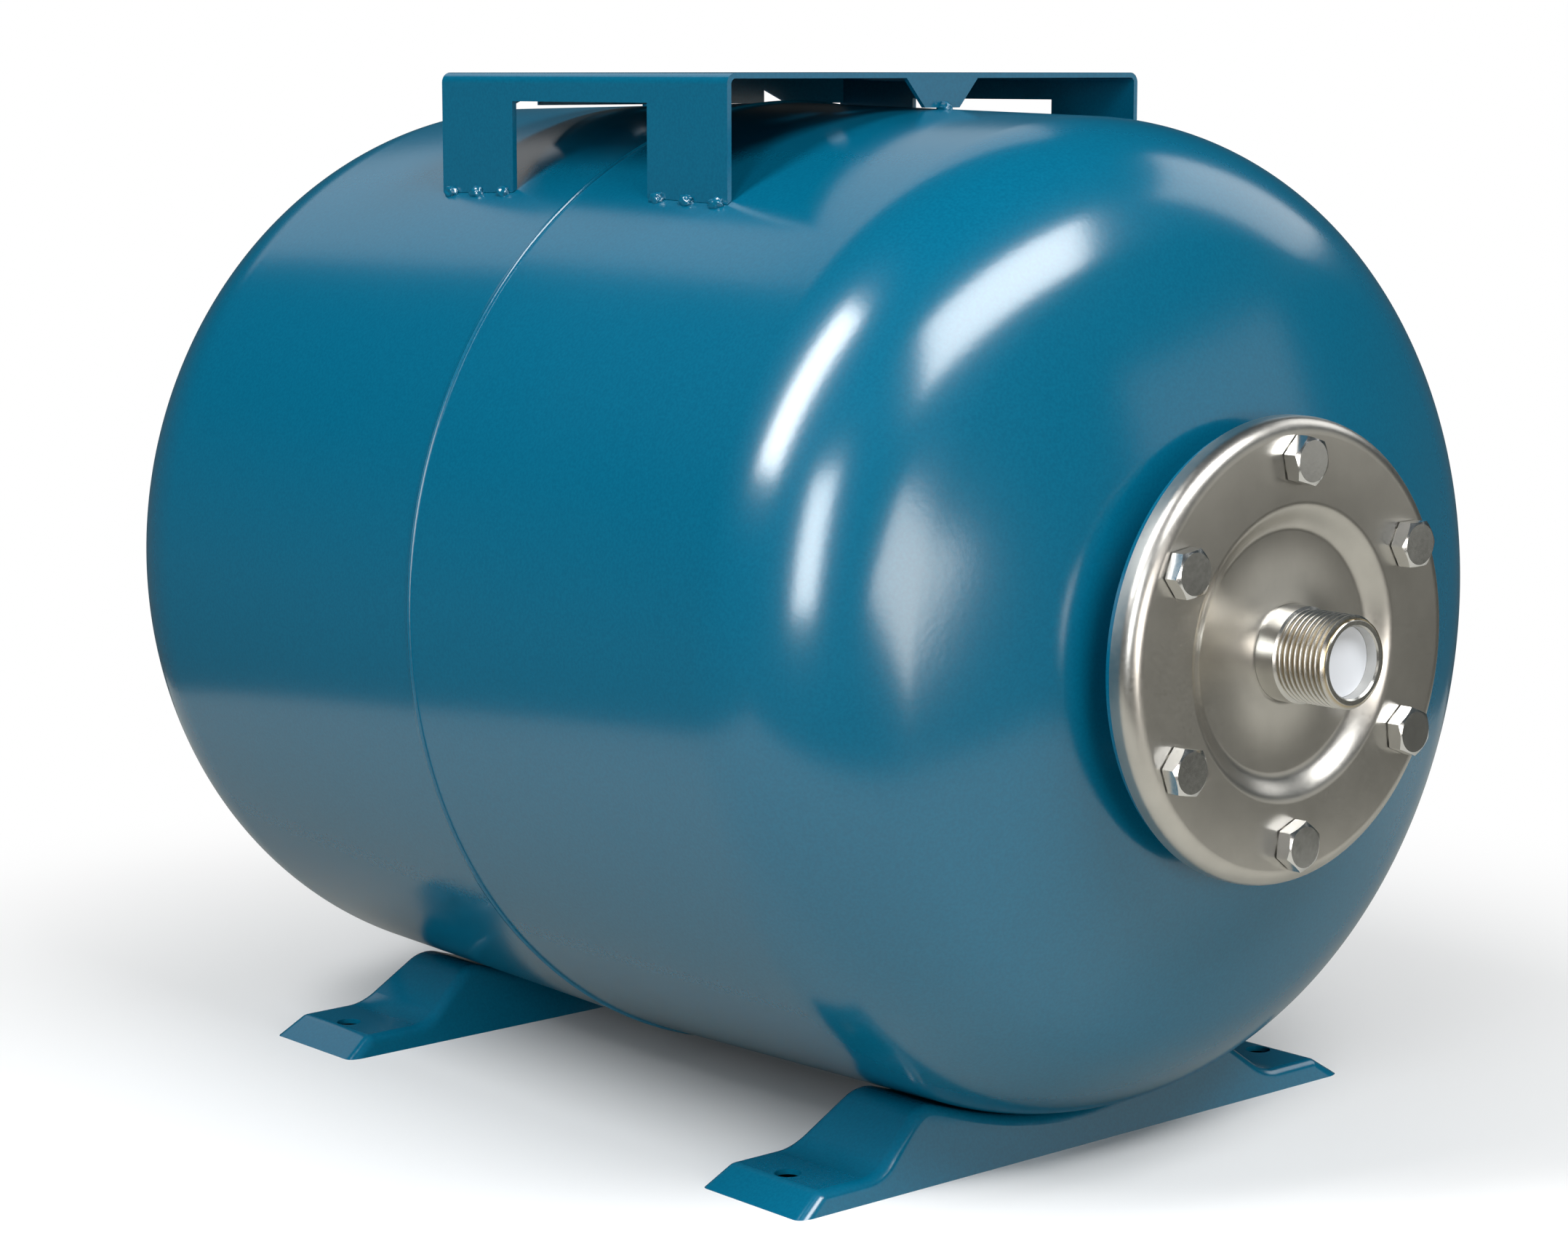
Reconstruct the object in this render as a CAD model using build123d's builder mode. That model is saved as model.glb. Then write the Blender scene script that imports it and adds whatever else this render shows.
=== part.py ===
from build123d import *
import os
from math import asin, atan2, cos, radians, sin, sqrt, tan

# Horizontal water expansion vessel, about 50 litres, millimetres.
# X across the tank, Y along its axis with the water connection towards -Y, Z up from the floor.

# Tank shell: two deep drawn halves with torispherical ends.
tank_radius = 190.0
front_half_length = 253.0
rear_half_length = 264.4
shell_wall = 1.5
draft_angle = 1.3
knuckle_radius = 70.5
crown_radius = 380.0
floor_gap = 10.2

# Girth seam: the rear half is joggled inside the front half and welded in a vee groove.
spigot_length = 14.0
joggle_length = 4.0
lap_clearance = 0.05
groove_half_width = 1.75
seam_crown = 0.5

# Flanged opening of the front head.
opening_radius = 57.0
land_width = 25.0

# Pressed flange cover, bolted to the neck ring.
cover_standoff = 16.4
bolt_edge_distance = 15.0
cover_sheet = 3.0
cover_edge_fillet = 6.5
cover_depth = 10.5
dish_clearance = 0.5
dish_wall_width = 11.3
dish_depth = 6.0
collar_land = 1.45
collar_slope = 5.1
collar_height = 2.2

# Neck ring welded on the head, with the bladder lip in its recess.
neck_plate_thickness = 10.5
neck_plate_inset = 0.5
neck_rim_inset = 1.5
neck_rim_clearance = 0.1
neck_tube_wall = 5.0
lip_thickness = 4.0
lip_width = 5.5
neck_weld_leg = 4.0

# Flange bolts, M10.
bolt_lip_gap = 1.02
bolt_radius = 4.98
bolt_hole_clearance = 0.52
tapped_clearance = 0.02
bolt_head_across_flats = 16.0
bolt_head_height = 6.4
bolt_face_inset = 0.4
bolt_chamfer_angle = 60.0
bolt_overrun = 3.0
bolt_turns = (14, 38, 20, 52, 8, 31)

# Water nipple, one inch pipe thread.
nipple_thread_radius = 16.62
nipple_shank_step = 0.68
nipple_wall = 3.92
nipple_projection = 26.6
nipple_thread_length = 21.0
nipple_end_chamfer = 1.4
nipple_shoulder_step = 5.7
nipple_shoulder_length = 3.0
nipple_tail = 6.0
nipple_fit = 0.05
nipple_weld_leg = 3.0

# Transit plug in the nipple mouth.
plug_recess = 5.0
plug_length = 16.0
plug_wall = 1.8
plug_clearance = 0.06

# Rubber bladder.
bladder_wall = 2.5
bladder_side_gap = 40.0
bladder_front_gap = 32.0
bladder_rear_gap = 60.0
bladder_neck_round = 14.0
bladder_front_fullness = 0.9
bladder_rear_fullness = 0.8

# Pressed steel feet.
foot_sheet = 2.0
foot_half_length = 146.0
foot_width = 55.8
foot_front_setback = 109.0
foot_rear_setback = 128.4
hump_width = 20.0
flank_width = 27.0
pad_width = 29.0
pad_end_slope = 12.0
pad_height = 7.8
foot_side_slope = 18.0
foot_edge_fillet = 5.0
hump_fillet = 14.0
pad_inner_fillet = 20.0
pad_outer_fillet = 5.0
foot_hole_inset = 6.5
foot_hole_radius = 5.0
saddle_clearance = 0.1
saddle_edge_inset = 8.0

# Pump bracket on top.
bracket_width = 215.0
bracket_length = 175.4
bracket_rise = 11.8
bracket_sheet = 2.0
bracket_bend = 4.0
window_width = 83.0
window_drop = 11.0
tab_top_width = 39.0
tab_bottom_width = 18.0
tab_clearance = 0.6
apron_notch_start = 60.0
apron_notch_width = 14.0
apron_notch_height = 6.2
leg_clearance = 0.2
pump_hole_x = 36.0
pump_hole_y = 60.0
pump_hole_radius = 4.5
tack_radius = 2.2
tack_inset = 6.0
tack_proud = 0.6

# Air valve boss and valve at the rear pole.
boss_radius = 13.0
boss_projection = 9.0
boss_depth = 5.0
boss_bore_radius = 5.0
boss_weld_leg = 2.5
gasket_radius = 8.0
gasket_thickness = 1.2
stem_hex = 14.0
stem_hex_height = 4.0
stem_radius = 3.85
stem_length = 12.0
stem_fit = 0.05
stem_tail = 3.0
core_bore_radius = 2.65
core_clearance = 0.05
core_length = 12.0
core_recess = 1.0
core_cavity_radius = 1.8
core_land = 2.0
air_bore_radius = 2.2
pin_radius = 0.6
pin_clearance = 0.05
pin_proud = 0.7
pin_collar_radius = 1.5
pin_collar_height = 0.8
pin_seal_radius = 1.7
pin_seal_height = 1.2
spring_radius = 1.25
spring_wire = 0.2
spring_turns = 5

# Screw cap over the boss.
cap_wall = 3.4
cap_fit = 0.05
cap_gap = 3.5
cap_end_wall = 2.0
cap_seal_thickness = 1.5
cap_seal_gap = 0.5
cap_ribs = 24
cap_rib_depth = 0.6
cap_edge_fillet = 2.0

# Places along the tank axis, measured from the middle of the tank.
axis_height = tank_radius + floor_gap
front_pole = -front_half_length
rear_pole = rear_half_length
foot_front_offset = front_pole + foot_front_setback
foot_rear_offset = rear_pole - foot_rear_setback
cover_face = front_pole - cover_standoff
cover_back = cover_face + cover_sheet
disc_face = cover_face + dish_depth
disc_back = disc_face + cover_sheet
collar_top = disc_face - collar_height
nipple_end = cover_face - nipple_projection
plug_face = nipple_end + plug_recess
boss_face = rear_pole + boss_projection
gasket_face = boss_face + gasket_thickness
hex_top = gasket_face + stem_hex_height
stem_end = hex_top + stem_length
core_top = stem_end - core_recess
core_bottom = core_top - core_length
pin_top = core_top + pin_proud
seal_low = stem_end + cap_seal_gap
cap_inner_end = seal_low + cap_seal_thickness
cap_end = cap_inner_end + cap_end_wall

# Radii about the tank axis that follow from one another.
land_radius = opening_radius + land_width
lip_radius = opening_radius + lip_width
bolt_circle_radius = lip_radius + bolt_radius + bolt_lip_gap
cover_radius = bolt_circle_radius + bolt_edge_distance
neck_plate_radius = cover_radius - cover_edge_fillet - neck_plate_inset
dish_outer_radius = opening_radius - bladder_wall - dish_clearance
dish_inner_radius = dish_outer_radius - dish_wall_width
nipple_shank_radius = nipple_thread_radius + nipple_shank_step
nipple_bore_radius = nipple_thread_radius - nipple_wall
nipple_hole_radius = nipple_shank_radius + nipple_fit
nipple_shoulder_radius = nipple_shank_radius + nipple_shoulder_step
collar_top_radius = nipple_hole_radius + collar_land
collar_foot_radius = collar_top_radius + collar_slope
land_face = -(sqrt(crown_radius**2 - land_radius**2) - crown_radius - front_pole)

# Places along the foot, measured out from the middle.
pad_outer = foot_half_length - pad_end_slope
pad_inner = pad_outer - pad_width
hump_half_width = pad_inner - flank_width
saddle_half_width = hump_half_width - hump_width
foot_hole_x = pad_outer - foot_hole_inset

# The origin is under the middle of the whole length, so the tank sits a little off centre.
tank_middle_y = -(nipple_end + cap_end) / 2
profile_plane = Plane(origin=(0, tank_middle_y, axis_height), x_dir=(0, 1, 0), z_dir=(1, 0, 0))
tank_axis = Axis((0, 0, axis_height), (0, 1, 0))


def ahead(distance):
    """Plane across the tank axis that faces the water connection; its x is X and its y is Z."""
    return Plane(
        origin=(0, tank_middle_y + distance, axis_height), x_dir=(1, 0, 0), z_dir=(0, -1, 0)
    )


def behind(distance):
    """Plane across the tank axis that faces the air valve."""
    return Plane(
        origin=(0, tank_middle_y + distance, axis_height), x_dir=(-1, 0, 0), z_dir=(0, 1, 0)
    )


def body_radius(along):
    """Outside radius of the tapered shell at a distance from the girth."""
    return tank_radius - abs(along) * tan(radians(draft_angle))


def half_shell(inset, start, side):
    """Half section of one shell, from the girth to the pole; side is -1 for the front half."""
    draft = radians(draft_angle)
    knuckle = knuckle_radius - inset
    crown = crown_radius - inset
    pole_distance = rear_pole if side > 0 else -front_pole
    crown_centre = pole_distance - crown_radius
    # The knuckle's centre lies on the wall's inner parallel and inside the crown's circle.
    base = tank_radius - knuckle_radius / cos(draft)
    reach = crown_centre + tan(draft) * base
    left_over = crown_centre**2 + base**2 - (crown_radius - knuckle_radius) ** 2
    centre = (reach + sqrt(reach**2 - left_over / cos(draft) ** 2)) * cos(draft) ** 2
    centre_out = base - tan(draft) * centre
    meeting_angle = atan2(centre_out, centre - crown_centre)
    mid_angle = (radians(90) - draft + meeting_angle) / 2

    def on_knuckle(angle):
        return (centre + knuckle * cos(angle), centre_out + knuckle * sin(angle))

    def on_crown(angle):
        return (crown_centre + crown * cos(angle), crown * sin(angle))

    path = (
        (start, body_radius(start) - inset / cos(draft)),
        on_knuckle(radians(90) - draft),
        on_knuckle(mid_angle),
        on_crown(meeting_angle),
        on_crown(meeting_angle / 2),
        on_crown(0),
        (start, 0),
    )
    points = [(side * along, out) for along, out in path]
    with BuildSketch(Plane.XY, mode=Mode.PRIVATE) as section:
        with BuildLine():
            Line(points[0], points[1])
            ThreePointArc(points[1], points[2], points[3])
            ThreePointArc(points[3], points[4], points[5])
            Line(points[5], points[6])
            Line(points[6], points[0])
        make_face()
    return section.sketch


def ring_section(low, high, inner, outer):
    """Rectangle in the turning section: low and high along the axis, inner and outer radii."""
    with BuildSketch(Plane.XY, mode=Mode.PRIVATE) as section:
        with Locations(((low + high) / 2, (inner + outer) / 2)):
            Rectangle(high - low, outer - inner)
    return section.sketch


groove_radius = body_radius(groove_half_width)

# Front half: drawn cup with a flat land and a round opening, its edge bevelled for the seam.
with BuildPart() as front_shell:
    with BuildSketch(profile_plane):
        add(half_shell(0, 0, -1))
        add(ring_section(front_pole - 1, land_face, 0, land_radius), mode=Mode.SUBTRACT)
        add(half_shell(shell_wall, 0, -1), mode=Mode.SUBTRACT)
        add(ring_section(land_face, land_face + shell_wall, opening_radius, land_radius))
        add(ring_section(front_pole, front_pole / 2, 0, opening_radius), mode=Mode.SUBTRACT)
        with BuildLine():
            Polyline(
                (0, tank_radius + seam_crown),
                (-groove_half_width, tank_radius + seam_crown),
                (-groove_half_width, groove_radius),
                (0, tank_radius - shell_wall),
                close=True,
            )
        make_face(mode=Mode.SUBTRACT)
    revolve(axis=tank_axis)

# Rear half: drawn cup whose edge steps in under the front half, with a hole for the valve boss.
spigot_radius = tank_radius - shell_wall - lap_clearance
spigot_end_radius = body_radius(spigot_length) - shell_wall - lap_clearance
joggle_end = groove_half_width + joggle_length
with BuildPart() as rear_shell:
    with BuildSketch(profile_plane):
        add(half_shell(0, groove_half_width, 1))
        add(half_shell(shell_wall, groove_half_width, 1), mode=Mode.SUBTRACT)
        with BuildLine():
            Polyline(
                (groove_half_width, groove_radius),
                (0, spigot_radius),
                (-spigot_length, spigot_end_radius),
                (-spigot_length, spigot_end_radius - shell_wall),
                (0, spigot_radius - shell_wall),
                (groove_half_width, spigot_radius - shell_wall),
                (joggle_end, body_radius(joggle_end) - shell_wall),
                (joggle_end, body_radius(joggle_end)),
                close=True,
            )
        make_face()
        add(ring_section(rear_pole / 2, rear_pole, 0, boss_radius), mode=Mode.SUBTRACT)
    revolve(axis=tank_axis)

# Weld bead that fills the vee groove and stands slightly proud.
with BuildPart() as seam_weld:
    with BuildSketch(profile_plane):
        with BuildLine():
            ThreePointArc(
                (-groove_half_width, groove_radius),
                (0, tank_radius + seam_crown),
                (groove_half_width, groove_radius),
            )
            Polyline(
                (groove_half_width, groove_radius),
                (0, spigot_radius),
                (0, tank_radius - shell_wall),
                (-groove_half_width, groove_radius),
            )
        make_face()
    revolve(axis=tank_axis)

# Neck ring: short tube on the land, with a thick plate that the bolts screw into.
with BuildPart() as neck_ring:
    with BuildSketch(profile_plane):
        add(ring_section(cover_back, land_face, opening_radius, opening_radius + neck_tube_wall))
        plate_back = cover_back + neck_plate_thickness
        rim_front = cover_face + cover_depth + neck_rim_clearance
        add(ring_section(cover_back, plate_back, opening_radius, neck_plate_radius))
        add(ring_section(rim_front, plate_back, opening_radius, cover_radius - neck_rim_inset))
        lip_back = cover_back + lip_thickness
        add(ring_section(cover_back, lip_back, opening_radius, lip_radius), mode=Mode.SUBTRACT)
    revolve(axis=tank_axis)
    with BuildSketch(ahead(cover_back)):
        with PolarLocations(bolt_circle_radius, len(bolt_turns), start_angle=90):
            Circle(bolt_radius + tapped_clearance)
    extrude(amount=-neck_plate_thickness, mode=Mode.SUBTRACT)

# Fillet weld between the neck tube and the land.
with BuildPart() as neck_weld:
    with BuildSketch(profile_plane):
        with BuildLine():
            Polyline(
                (land_face, opening_radius + neck_tube_wall),
                (land_face, opening_radius + neck_tube_wall + neck_weld_leg),
                (land_face - neck_weld_leg, opening_radius + neck_tube_wall),
                close=True,
            )
        make_face()
    revolve(axis=tank_axis)

# Flange cover: pressed plate with a rolled edge, a dished middle and a raised collar.
dish_middle = ((cover_face + disc_face) / 2, (dish_inner_radius + dish_outer_radius) / 2)
with BuildPart() as flange_cover:
    with BuildSketch(profile_plane):
        with BuildLine():
            Polyline(
                (disc_back, nipple_hole_radius),
                (collar_top, nipple_hole_radius),
                (collar_top, collar_top_radius),
                (disc_face, collar_foot_radius),
                (disc_face, dish_inner_radius),
            )
            TangentArc((disc_face, dish_inner_radius), dish_middle, tangent=(0, 1))
            TangentArc((cover_face, dish_outer_radius), dish_middle, tangent=(0, -1))
            edge_start = (cover_face, cover_radius - cover_edge_fillet)
            Line((cover_face, dish_outer_radius), edge_start)
            edge_end = (cover_face + cover_edge_fillet, cover_radius)
            TangentArc(edge_start, edge_end, tangent=(0, 1))
            inner_edge_end = (edge_end[0], cover_radius - cover_sheet)
            Polyline(
                edge_end,
                (cover_face + cover_depth, cover_radius),
                (cover_face + cover_depth, cover_radius - cover_sheet),
                inner_edge_end,
            )
            inner_edge_start = (cover_back, cover_radius - cover_edge_fillet)
            TangentArc(inner_edge_start, inner_edge_end, tangent=(0, 1))
            Line(inner_edge_start, (cover_back, dish_outer_radius))
            back_middle = (dish_middle[0] + cover_sheet, dish_middle[1])
            TangentArc((cover_back, dish_outer_radius), back_middle, tangent=(0, -1))
            TangentArc((disc_back, dish_inner_radius), back_middle, tangent=(0, 1))
            Line((disc_back, dish_inner_radius), (disc_back, nipple_hole_radius))
        make_face()
    revolve(axis=tank_axis)
    with BuildSketch(ahead(cover_face)):
        with PolarLocations(bolt_circle_radius, len(bolt_turns), start_angle=90):
            Circle(bolt_radius + bolt_hole_clearance)
    extrude(amount=-cover_sheet, mode=Mode.SUBTRACT)

# Water nipple: shank through the collar, pipe thread ahead of it and a shoulder behind the plate.
with BuildPart() as water_nipple:
    thread_start = nipple_end + nipple_thread_length
    shoulder_back = disc_back + nipple_shoulder_length
    with BuildSketch(profile_plane):
        with BuildLine():
            Polyline(
                (nipple_end, nipple_bore_radius),
                (nipple_end, nipple_thread_radius - nipple_end_chamfer),
                (nipple_end + nipple_end_chamfer, nipple_thread_radius),
                (thread_start, nipple_thread_radius),
                (thread_start, nipple_shank_radius),
                (disc_back, nipple_shank_radius),
                (disc_back, nipple_shoulder_radius),
                (shoulder_back, nipple_shoulder_radius),
                (shoulder_back, nipple_thread_radius),
                (shoulder_back + nipple_tail, nipple_thread_radius),
                (shoulder_back + nipple_tail, nipple_bore_radius),
                close=True,
            )
        make_face()
    revolve(axis=tank_axis)

# Fillet weld between the nipple's shoulder and the back of the cover.
with BuildPart() as nipple_weld:
    with BuildSketch(profile_plane):
        with BuildLine():
            Polyline(
                (disc_back, nipple_shoulder_radius),
                (disc_back, nipple_shoulder_radius + nipple_weld_leg),
                (shoulder_back, nipple_shoulder_radius),
                close=True,
            )
        make_face()
    revolve(axis=tank_axis)

# Six hexagon bolts, each tightened to a different angle.
with BuildPart() as flange_bolts:
    for number, turn in enumerate(bolt_turns):
        with BuildSketch(ahead(cover_face)):
            with PolarLocations(bolt_circle_radius, 1, start_angle=90 + 360 / len(bolt_turns) * number):
                RegularPolygon(bolt_head_across_flats / 2, 6, major_radius=False, rotation=turn)
        extrude(amount=bolt_head_height)
    with BuildSketch(ahead(cover_face - bolt_head_height)):
        with PolarLocations(bolt_circle_radius, len(bolt_turns), start_angle=90):
            Circle(bolt_head_across_flats / 2 - bolt_face_inset)
    extrude(amount=-bolt_head_height, taper=-bolt_chamfer_angle, mode=Mode.INTERSECT)
    with BuildSketch(ahead(cover_face)):
        with PolarLocations(bolt_circle_radius, len(bolt_turns), start_angle=90):
            Circle(bolt_radius)
    extrude(amount=-(cover_sheet + neck_plate_thickness + bolt_overrun))


def sack_section(inset):
    """Half section of the bladder's sack and throat, shrunk by inset and open at the lip."""
    bladder_radius = tank_radius - bladder_side_gap
    front_round = bladder_front_fullness * (bladder_radius - opening_radius - bladder_neck_round)
    rear_round = bladder_rear_fullness * bladder_radius
    front = front_pole + bladder_front_gap + inset
    rear = rear_pole - bladder_rear_gap - inset
    with BuildSketch(Plane.XY, mode=Mode.PRIVATE) as section:
        with BuildLine():
            Polyline(
                (cover_back - inset, 0),
                (cover_back - inset, opening_radius - inset),
                (front, opening_radius - inset),
                (front, bladder_radius - inset),
                (rear, bladder_radius - inset),
                (rear, 0),
                close=True,
            )
        make_face()
        corners = section.vertices().sort_by_distance((front, opening_radius - inset))
        fillet(corners[0], bladder_neck_round + inset)
        corners = section.vertices().sort_by_distance((front, bladder_radius - inset))
        fillet(corners[0], front_round - inset)
        corners = section.vertices().sort_by_distance((rear, bladder_radius - inset))
        fillet(corners[0], rear_round - inset)
    return section.sketch


# Rubber bladder: sack in the tank, throat through the neck and a lip under the cover.
with BuildPart() as bladder:
    with BuildSketch(profile_plane):
        add(sack_section(0))
        add(ring_section(cover_back, lip_back, 0, lip_radius))
        add(sack_section(bladder_wall), mode=Mode.SUBTRACT)
    revolve(axis=tank_axis)

# White plug that keeps the nipple clean until the vessel is connected.
with BuildPart() as transit_plug:
    plug_radius = nipple_bore_radius - plug_clearance
    plug_back = plug_face + plug_length
    with BuildSketch(profile_plane):
        add(ring_section(plug_face, plug_back, 0, plug_radius))
        add(
            ring_section(plug_face + plug_wall, plug_back, 0, plug_radius - plug_wall),
            mode=Mode.SUBTRACT,
        )
    revolve(axis=tank_axis)


def foot_form(foot_offset, inset):
    """The pressing's outer form, or with an inset the form of its hollow side."""
    middle_y = tank_middle_y + foot_offset
    inner_edge = abs(foot_offset) - foot_width / 2 + saddle_edge_inset
    saddle_radius = body_radius(inner_edge) + saddle_clearance
    lift = asin(saddle_half_width / saddle_radius)
    saddle_low = axis_height - saddle_radius
    saddle_high = axis_height - saddle_radius * cos(lift)
    hump_height = saddle_high + (hump_half_width - saddle_half_width) * tan(lift)
    below = -pad_height
    reach = foot_half_length - pad_outer
    end_x = foot_half_length + reach
    half_width = foot_width / 2
    flare = tan(radians(foot_side_slope))
    top = 2 * hump_height
    with BuildPart() as form:
        with BuildSketch(Plane.XZ.offset(-middle_y)) as outline:
            with BuildLine():
                ThreePointArc(
                    (-saddle_half_width, saddle_high), (0, saddle_low), (saddle_half_width, saddle_high)
                )
                side = [
                    (saddle_half_width, saddle_high),
                    (hump_half_width, hump_height),
                    (pad_inner, pad_height),
                    (pad_outer, pad_height),
                    (end_x, below),
                ]
                Polyline(side + [(-x, z) for x, z in reversed(side)])
            make_face()
            rounds = (
                (hump_half_width, hump_height, hump_fillet),
                (pad_inner, pad_height, pad_inner_fillet),
                (pad_outer, pad_height, pad_outer_fillet),
            )
            for way in (-1, 1):
                for x, z, round_radius in rounds:
                    corner = outline.vertices().sort_by_distance((way * x, z))[0]
                    fillet(corner, round_radius)
            if inset:
                offset(amount=-inset, mode=Mode.REPLACE)
        extrude(amount=foot_width, both=True)
        with BuildSketch(Plane.YZ) as cross:
            with BuildLine():
                Polyline(
                    (middle_y - half_width - pad_height * flare, below),
                    (middle_y - half_width + top * flare, top),
                    (middle_y + half_width - top * flare, top),
                    (middle_y + half_width + pad_height * flare, below),
                    close=True,
                )
            make_face()
            if inset:
                offset(amount=-inset, mode=Mode.REPLACE)
        extrude(amount=end_x, both=True, mode=Mode.INTERSECT)
        edges = form.edges().filter_by(lambda edge: abs((edge % 0.5).Y) < 0.9)
        edges = edges.filter_by(lambda edge: edge.center().Z > below + inset + 0.1)
        fillet(edges, foot_edge_fillet - inset)
    return form.part


def saddle_foot(foot_offset):
    """One pressed foot: open underneath, cut off at the floor, with a hole in each pad."""
    middle_y = tank_middle_y + foot_offset
    hollow_depth = 2 * pad_height
    outer_form = foot_form(foot_offset, 0)
    hollow_form = foot_form(foot_offset, foot_sheet)
    with BuildPart() as foot:
        add(outer_form)
        add(hollow_form, mode=Mode.SUBTRACT)
        with Locations((0, middle_y, -hollow_depth / 2)):
            Box(3 * foot_half_length, 2 * foot_width, hollow_depth, mode=Mode.SUBTRACT)
        with Locations((-foot_hole_x, middle_y, pad_height), (foot_hole_x, middle_y, pad_height)):
            Hole(foot_hole_radius)
    return foot.part


front_foot = saddle_foot(foot_front_offset)
rear_foot = saddle_foot(foot_rear_offset)

# Pump bracket: sheet folded down at both sides into four legs, at the front into a tab and
# at the rear into a low apron with two notches.
plate_height = axis_height + tank_radius + bracket_rise
bracket_half = bracket_width / 2
with BuildPart() as pump_bracket:
    with BuildSketch(Plane.XZ.offset(-tank_middle_y)) as channel:
        with BuildLine():
            FilletPolyline(
                (-bracket_half, axis_height),
                (-bracket_half, plate_height),
                (bracket_half, plate_height),
                (bracket_half, axis_height),
                radius=bracket_bend,
            )
            Line((bracket_half, axis_height), (-bracket_half, axis_height))
        make_face()
        with BuildLine():
            FilletPolyline(
                (-bracket_half + bracket_sheet, axis_height),
                (-bracket_half + bracket_sheet, plate_height - bracket_sheet),
                (bracket_half - bracket_sheet, plate_height - bracket_sheet),
                (bracket_half - bracket_sheet, axis_height),
                radius=bracket_bend - bracket_sheet,
            )
            Line(
                (bracket_half - bracket_sheet, axis_height), (-bracket_half + bracket_sheet, axis_height)
            )
        make_face(mode=Mode.SUBTRACT)
    extrude(amount=bracket_length / 2, both=True)
    window_top = plate_height - window_drop
    with BuildSketch(Plane.YZ):
        with Locations((tank_middle_y, (window_top + axis_height) / 2)):
            Rectangle(window_width, window_top - axis_height)
    extrude(amount=bracket_width, both=True, mode=Mode.SUBTRACT)
    tab_offset = (bracket_length - bracket_sheet) / 2
    tab_low = axis_height + body_radius(tab_offset) + tab_clearance
    fold_height = plate_height - bracket_sheet / 2
    with BuildSketch(Plane.XZ.offset(tab_offset - tank_middle_y)):
        with BuildLine():
            Polyline(
                (-tab_top_width / 2, fold_height),
                (tab_top_width / 2, fold_height),
                (tab_bottom_width / 2, tab_low),
                (-tab_bottom_width / 2, tab_low),
                close=True,
            )
        make_face()
    extrude(amount=bracket_sheet / 2, both=True)
    with BuildSketch(Plane.XZ.offset(-tab_offset - tank_middle_y)):
        with Locations((0, (fold_height + tab_low) / 2)):
            Rectangle(bracket_width - 2 * bracket_sheet, fold_height - tab_low)
        for way in (-1, 1):
            notch_end = apron_notch_start + apron_notch_width
            with BuildLine():
                Polyline(
                    (way * apron_notch_start, tab_low),
                    (way * apron_notch_start, tab_low + apron_notch_height),
                    (way * notch_end, tab_low),
                    close=True,
                )
            make_face(mode=Mode.SUBTRACT)
    extrude(amount=bracket_sheet / 2, both=True)
    with BuildSketch(profile_plane):
        add(half_shell(-leg_clearance, 0, -1))
        add(half_shell(-leg_clearance, 0, 1))
    revolve(axis=tank_axis, mode=Mode.SUBTRACT)
    with BuildSketch(Plane.XY.offset(plate_height)):
        with Locations((0, tank_middle_y)):
            with GridLocations(2 * pump_hole_x, 2 * pump_hole_y, 2, 2):
                Circle(pump_hole_radius)
    extrude(amount=-bracket_sheet, mode=Mode.SUBTRACT)

# Tack welds: three at the foot of each leg and one under each fold. Each is cut by itself.
leg_width = (bracket_length - window_width) / 2
leg_middle = (bracket_length + window_width) / 4
tack_places = []
for end in (-1, 1):
    tack_places.append((0, end * (tab_offset + bracket_sheet), tab_low))
    for side in (-1, 1):
        for step in (-1, 0, 1):
            along = end * leg_middle + step * (leg_width / 2 - tack_inset)
            tack_height = axis_height + sqrt(body_radius(along) ** 2 - bracket_half**2)
            tack_places.append((side * (bracket_half + tack_proud), along, tack_height))
with BuildPart() as body_form:
    with BuildSketch(profile_plane):
        add(half_shell(0, 0, -1))
        add(half_shell(0, 0, 1))
    revolve(axis=tank_axis)
tacks = []
for across, along, tack_height in tack_places:
    with BuildPart() as tack:
        with Locations((across, tank_middle_y + along, tack_height)):
            Sphere(tack_radius, rotation=(35, 60, 0))
        add(pump_bracket.part, mode=Mode.SUBTRACT)
        add(body_form.part, mode=Mode.SUBTRACT)
    tacks.append(tack.part)
with BuildPart() as bracket_tack_welds:
    add(tacks)

# Valve boss: steel bush through the rear pole, with the cap's thread outside.
with BuildPart() as valve_boss:
    with BuildSketch(profile_plane):
        add(ring_section(rear_pole - boss_depth, boss_face, boss_bore_radius, boss_radius))
    revolve(axis=tank_axis)

# Weld round the boss, on the crown of the rear head.
with BuildPart() as valve_boss_weld:
    with BuildSketch(profile_plane):
        with BuildLine():
            Polyline(
                (rear_pole - shell_wall, boss_radius),
                (rear_pole - shell_wall, boss_radius + boss_weld_leg),
                (rear_pole, boss_radius + boss_weld_leg),
                (rear_pole + boss_weld_leg, boss_radius),
                close=True,
            )
        make_face()
        add(half_shell(0, 0, 1), mode=Mode.SUBTRACT)
    revolve(axis=tank_axis)

# Rubber gasket under the valve's hexagon.
with BuildPart() as valve_gasket:
    with BuildSketch(profile_plane):
        add(ring_section(boss_face, gasket_face, boss_bore_radius, gasket_radius))
    revolve(axis=tank_axis)

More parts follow.
